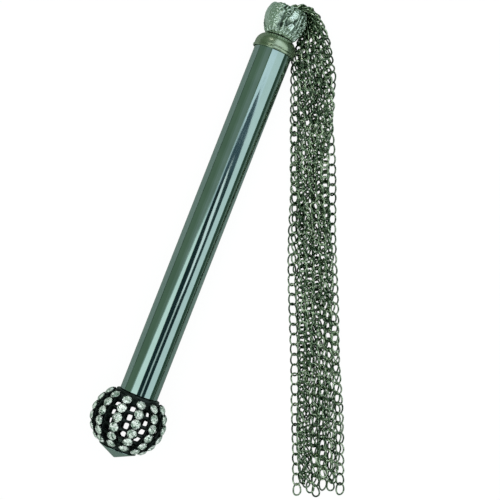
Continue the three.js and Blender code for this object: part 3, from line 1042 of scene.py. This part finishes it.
def leaf_height(around, station):
    """How far the cup's surface stands out of its deepest cut, from 0 to 1."""
    up = (station - CUP_START) / (LIP_S - CUP_START)
    spot = Vector((cos(around), sin(around), up * 1.5))
    drift = noise.noise_vector(spot * 2.6) * 0.16 + noise.noise_vector(spot * 7) * 0.06
    span = tau / CUP_TURNS
    turn = (around + drift.x + span / 2) % span - span / 2
    fine = noise.noise(spot * 16)
    up_here = up + 0.5 * drift.y

    # fine veins everywhere, and scrolls beside the slim leaf
    veins = 0.5 + 0.5 * cos((around + drift.x) * 24 - 5 * up + 1.5 * fine)
    height = 0.08 + 0.70 * veins ** 0.7 + 0.35 * fine
    scrolls = bell(turn - 0.03, 0.22) * bell(up_here - 0.72, 0.2)
    swirls = 0.5 + 0.5 * sin(turn * 30 + 4 * sin(up_here * 26))
    height = height * (1 - scrolls) + scrolls * swirls

    height = raised(height, within(turn, up_here, SLIM_LEAF), 0.78 + 0.3 * fine, 0.18)
    height = raised(height, within(turn, up_here, TEARDROP), 0.8, 0.2)
    height = raised(height, within(turn, up_here, BROAD_LEAF), 0.70 + 0.3 * fine, 0.2)

    # the curl is a ridge round a pit, and the piercing a deeper pit
    curl = within(turn, up_here, CURL)
    height += (0.95 - height) * bell(curl - 0.85, 0.28)
    height *= 1 - 0.95 * bell(curl, 0.38)
    height *= 1 - eased(-within(turn, up_here, PIERCING), -1.0, -0.7)

    # flutes round the foot
    flutes = 0.5 + 0.5 * cos(around * 26 + 1.1 + 6 * drift.x)
    low = bell(up - 0.08, 0.08 + 0.05 * noise.noise(spot * 4))
    height = height * (1 - low) + (0.35 + 0.65 * flutes + 0.6 * fine) * low
    return min(1.0, max(0.0, height))


def lip_station(around):
    """Station of the cup's scalloped lip."""
    scallop = abs(sin(around * 4 + 0.35))
    small = abs(sin(around * 13))
    return LIP_S - 1.1 + 0.75 * scallop ** 0.6 + 0.35 * small


def wall_end(around):
    """Station where the lip's rounding starts."""
    return lip_station(around) - LIP_ROUND


def build_cup():
    points, faces, marks, rings = [], [], [], []

    def ring(radius_of, station_of, shade_of):
        rings.append(list(range(len(points), len(points) + CUP_SEGMENTS)))
        for i in range(CUP_SEGMENTS):
            around = tau * i / CUP_SEGMENTS
            station = station_of(around)
            points.append(on_handle(radius_of(around, station), around, station))
            marks.append(shade_of(around, station))

    def carved(around, station):
        return cup_base(station) - RELIEF_DEPTH * (1 - leaf_height(around, station))

    # Each ring's marks are painted shade and light for the cast metal: dark at the foot and on the
    # floor, darker deeper inside the cup, light on the lip, and outside as bright as the leaves
    # stand high.
    for radius in (BUSH_R + GAP, CUP_FOOT_R):
        ring(lambda a, s, r=radius: r, lambda a: CUP_START, lambda a, s: 0.2)
    for level in range(CUP_LEVELS + 1):
        share = level / CUP_LEVELS
        ring(carved, lambda a, k=share: CUP_START + (wall_end(a) - CUP_START) * k, leaf_height)
    for step in range(1, LIP_STEPS):
        turn = pi * step / LIP_STEPS
        inset = LIP_WALL / 2 * (1 - cos(turn))
        rise = LIP_ROUND * sin(turn)
        ring(
            lambda a, s, x=inset: cup_base(LIP_S) - 0.25 - x,
            lambda a, y=rise: wall_end(a) + y,
            lambda a, s: 0.9,
        )
    for radius, share in CUP_INSIDE:
        ring(
            lambda a, s, r=radius: r,
            lambda a, k=share: wall_end(a) + (CUP_FLOOR - wall_end(a)) * k,
            lambda a, s, k=share: 0.55 - 0.4 * k,
        )
    ring(lambda a, s: BUSH_R + GAP, lambda a: CUP_FLOOR, lambda a, s: 0.1)
    stitch(faces, rings, closed=True)
    cup = add_mesh("crown", points, faces, CAST)
    add_values(cup, "relief_shade", marks)
    place(tidy_mesh(cup, 0.0), "handle", "gunmetal_cast", "crown_cup")


def add_ring(name, station, normal, radius, wire):
    """A steel ring of round wire, its middle on the handle's axis, square to normal."""
    points = []
    rounds, sides = 64, 20
    centre, second = on_handle(0, 0, station), normal.cross(AXIS)
    for i in range(rounds):
        u = tau * i / rounds
        out = AXIS * cos(u) + second * sin(u)
        for j in range(sides):
            v = tau * j / sides
            off = out * (radius + wire * cos(v)) + normal * wire * sin(v)
            points.append(centre + off * MM)
    return tidy_mesh(add_mesh(name, points, wire_faces(rounds, sides), STEEL))


def build_swivel():
    flange = CUP_FLOOR + GAP
    bush = [(BUSH_BORE, BUSH_START), (BUSH_R, BUSH_START), (BUSH_R, flange), (FLANGE_R, flange)]
    bush += [(FLANGE_R, BUSH_TOP), (BUSH_BORE, BUSH_TOP)]
    add_fixing("bush", bush, "cup_bush")
    tip = EYE_S - EYE_R
    pin = [(0, PIN_START), (PIN_R, PIN_START), (PIN_R, tip - 0.2), (0, tip)]
    add_fixing("eye_pin", pin, "swivel_eye", "tassel_neck", edge=0.15, segments=48)
    loop = add_ring("eye_loop", EYE_S, UP, EYE_R, EYE_WIRE)
    place(loop, "tassel_neck", "fixing_steel")
    nut = sleeve(*PIN_NUT)
    add_fixing("pin_nut", nut, "swivel_nut", "tassel_neck", edge=0.15, segments=6)
    gather = add_ring("gather", RING_S, SIDE, RING_R, RING_WIRE)
    place(gather, "tassel_neck", "fixing_steel", "gather_ring")


build_collar()
build_cup()
build_swivel()


# ---- floor and light; the room is in metres from the wand's middle ----
FLOOR_HALF = 6.0
FLOOR_SHIFT = (0.12, 0.0, 0.0)  # brings the pale middle of the mirrored floor to the origin
FLOOR_GLOW = 0.945
FLOOR_COLOUR = (0.07, 0.07, 0.07, 1)
SURROUNDINGS = (0.139, 0.215, 0.145, 1)
BACKDROP = (0.98, 0.98, 0.98, 1)


def floor_material():
    """A pale light table: it glows to the camera, and mirrors see it grey, darker further out as
    painted shade.
    """
    made = Nodes("table", Roughness=0.9, Emission_Color=(1, 1, 1, 1), Specular_IOR_Level=0.0)
    camera = made.node("LightPath").outputs["Is Camera Ray"]
    far = made.vector("LENGTH", made.vector("ADD", made.spot, FLOOR_SHIFT), output="Value")
    mirrored = made.ramp(
        made.combine(far, made.combine(made.noise(30, 3), 0.03), "ADD"),
        (0.14, (0.29, 0.33, 0.30)),
        (0.26, (0.17, 0.215, 0.18)),
        (0.50, (0.07, 0.105, 0.08)),
        (1.0, (0.06, 0.095, 0.07)),
    )
    inputs = {"Factor": camera, "A": mirrored, "B": FLOOR_COLOUR}
    mix = made.node("Mix", inputs, data_type="RGBA")
    made.feed(made.shader, {"Emission Strength": made.combine(camera, FLOOR_GLOW)})
    return made.finish(mix.outputs["Result"])


def build_floor():
    half = FLOOR_HALF
    corners = [(-half, -half, 0), (half, -half, 0), (half, half, 0), (-half, half, 0)]
    add_mesh("table", corners, [(0, 1, 2, 3)], floor_material(), smooth=False)


def build_world():
    """Dim olive surroundings, pale where the camera looks past the table."""
    world = bpy.data.worlds.new("studio")
    bpy.context.scene.world = world
    world.use_nodes = True
    tree = world.node_tree
    mix = tree.nodes.new("ShaderNodeMix")
    mix.data_type = "RGBA"
    mix.inputs["A"].default_value = SURROUNDINGS
    mix.inputs["B"].default_value = BACKDROP
    rays = tree.nodes.new("ShaderNodeLightPath")
    tree.links.new(rays.outputs["Is Camera Ray"], mix.inputs["Factor"])
    tree.links.new(mix.outputs["Result"], tree.nodes["Background"].inputs["Color"])


# The panels hang level over the table. An outline's points are across the handle, and along it
# towards the crown. Where two panels overlap, the lower one is seen.
PANEL_HEIGHT = 0.70
PANEL_STEP = 0.004
PANEL_COLOUR = (0.02, 0.03, 0.03, 1)


def rectangle(left, foot, right, head):
    return [(left, foot), (right, foot), (right, head), (left, head)]


HEAD_PANEL = [
    (-0.083, 1.28), (-0.083, 0.23), (-0.10, 0.197), (-0.02, 0.14), (0.4, 0.14), (0.4, 1.28),
]
TONGUE = [
    (-0.10, 0.197), (-0.13, 0.18), (-0.155, 0.147), (-0.162, 0.13), (-0.165, 0.06),
    (-0.055, 0.06), (-0.055, 0.16),
]
LOW_PANEL = [
    (-0.095, -1.32), (-0.095, 0.06), (-0.12, 0.078), (-0.18, 0.068), (-0.26, 0.044),
    (-0.34, 0.008), (-0.40, -0.026), (-0.465, -0.062), (-0.535, -0.1), (-0.613, -0.14),
    (-0.75, -0.22), (-0.75, -1.32),
]
LOW_SKIRT = [
    (-0.12, 0.11), (-0.22, 0.09), (-0.36, 0.045), (-0.47, -0.015), (-0.62, -0.09),
    (-0.85, -0.2), (-0.85, -1.32), (-0.12, -1.32),
]
FLAG = [
    (-0.09, -1.32), (0.545, -1.32), (0.555, -0.1), (0.59, -0.058), (0.64, -0.02),
    (0.665, 0.02), (0.665, 0.058), (0.655, 0.096), (0.622, 0.132), (0.575, 0.154),
    (0.51, 0.168), (0.445, 0.178), (0.378, 0.188), (0.307, 0.198), (0.265, 0.205),
    (0.132, 0.211), (0.065, 0.196), (0.02, 0.179), (-0.015, 0.163), (-0.06, 0.140),
    (-0.075, 0.122),
]
UPPER_FLAG = [
    (-0.075, 0.10), (0.12, 0.11), (0.40, 0.125), (0.622, 0.132), *FLAG[9:],
]
RIGHT_FLAG = [
    (0.25, -0.01), (0.655, -0.01), (0.665, 0.058), (0.655, 0.096), (0.622, 0.132),
    (0.40, 0.13), (0.25, 0.13),
]
STRIP_TOP = [
    (0.211, -0.0236), (0.33, -0.0225), (0.38, 0.013), (0.387, 0.043), (0.335, 0.07),
    (0.272, 0.096), (0.215, 0.114), (0.15, 0.123), (0.11, 0.119), (0.108, 0.095),
    (0.122, 0.066), (0.193, 0.038), (0.226, 0.0096),
]
STRIP_FOOT = [
    (0.153, -1.0), (0.245, -1.0), (0.252, -0.109), (0.288, -0.057), (0.33, -0.0225),
    (0.211, -0.0236), (0.194, -0.0567), (0.16, -0.0895),
]
# name, outline, radiance, and how many steps the panel hangs below the panels' height
PANELS = [
    ("side_panel", rectangle(0.4, -1.62, 2.6, 1.28), (0.81, 0.98, 0.96), 0),
    ("head_panel", HEAD_PANEL, (0.90, 1.08, 1.13), 0),
    ("tongue_panel", TONGUE, (0.56, 0.70, 0.72), 1),
    ("low_panel", LOW_PANEL, (0.98, 1.18, 1.10), 1),
    ("low_skirt", LOW_SKIRT, (0.32, 0.44, 0.38), 0),
    ("left_panel", rectangle(-0.95, -0.1, -0.165, 0.6), (0.17, 0.25, 0.185), -2),
    ("inner_left", rectangle(-0.6, 0.0, -0.165, 0.5), (0.22, 0.30, 0.25), -1),
    ("flag", FLAG, (0.012, 0.032, 0.036), 2),
    ("upper_flag", UPPER_FLAG, (0.068, 0.12, 0.145), 4),
    ("right_flag", RIGHT_FLAG, (0.030, 0.062, 0.066), 3),
    ("strip_top", STRIP_TOP, (1.08, 1.2, 1.18), 5),
    ("strip_foot", STRIP_FOOT, (0.62, 0.74, 0.70), 5),
]
# an upright flag beyond the side panel's edge
SIDE_FLAG = [(2.62, -3, 0), (2.62, 3, 0), (2.62, 3, 0.68), (2.62, -3, 0.68)]
SIDE_FLAG_RADIANCE = (0.03, 0.07, 0.04)
SPARKS = [(-0.35, -0.8, 0.9), (0.5, -0.9, 0.8), (-0.6, 0.9, 0.8), (0.35, 1.1, 0.9)]
SPARK_SIDE = 0.15
SPARK_RADIANCE = 7.0
FILL_SIDE = 0.8
FILL_HEIGHT = 0.6
FILL_ENERGY = 2.9


def add_panel(name, corners, radiance):
    """A flat panel that glows evenly, or a dark flag that hardly does."""
    glow = {"Emission_Color": (*radiance, 1), "Emission_Strength": 1.0}
    made = Nodes(name, Base_Color=PANEL_COLOUR, Roughness=0.9, **glow)
    panel = add_mesh(name, corners, [tuple(range(len(corners)))], made.material, smooth=False)
    panel.visible_camera = False


def add_lamp(name, side, energy, spot, turn=Matrix.Identity(4)):
    light = bpy.data.lights.new(name, "AREA")
    light.size = side
    light.energy = energy
    lamp = add_object(name, light)
    lamp.matrix_world = Matrix.Translation(spot) @ turn
    lamp.visible_camera = False
    return lamp


def add_spark(name, spot):
    """A small square lamp that faces the wand, for the glints on stones and links."""
    back = Vector(spot).normalized()
    right = Vector((0, 1, 0)).cross(back).normalized()
    turn = Matrix((right, back.cross(right), back)).transposed().to_4x4()
    add_lamp(name, SPARK_SIDE, SPARK_RADIANCE * pi * SPARK_SIDE ** 2, spot, turn)


def build_lights():
    # a wide soft lamp, which lights matt faces and stones but leaves no shape in the polish
    add_lamp("fill", FILL_SIDE, FILL_ENERGY, (0, 0, FILL_HEIGHT)).visible_glossy = False
    for name, outline, radiance, step in PANELS:
        add_panel(name, [(x, y, PANEL_HEIGHT - step * PANEL_STEP) for x, y in outline], radiance)
    add_panel("side_flag", SIDE_FLAG, SIDE_FLAG_RADIANCE)
    for i, spot in enumerate(SPARKS):
        add_spark(f"spark_{i}", spot)


build_floor()
build_world()
build_lights()
bpy.context.scene.view_settings.view_transform = "Standard"
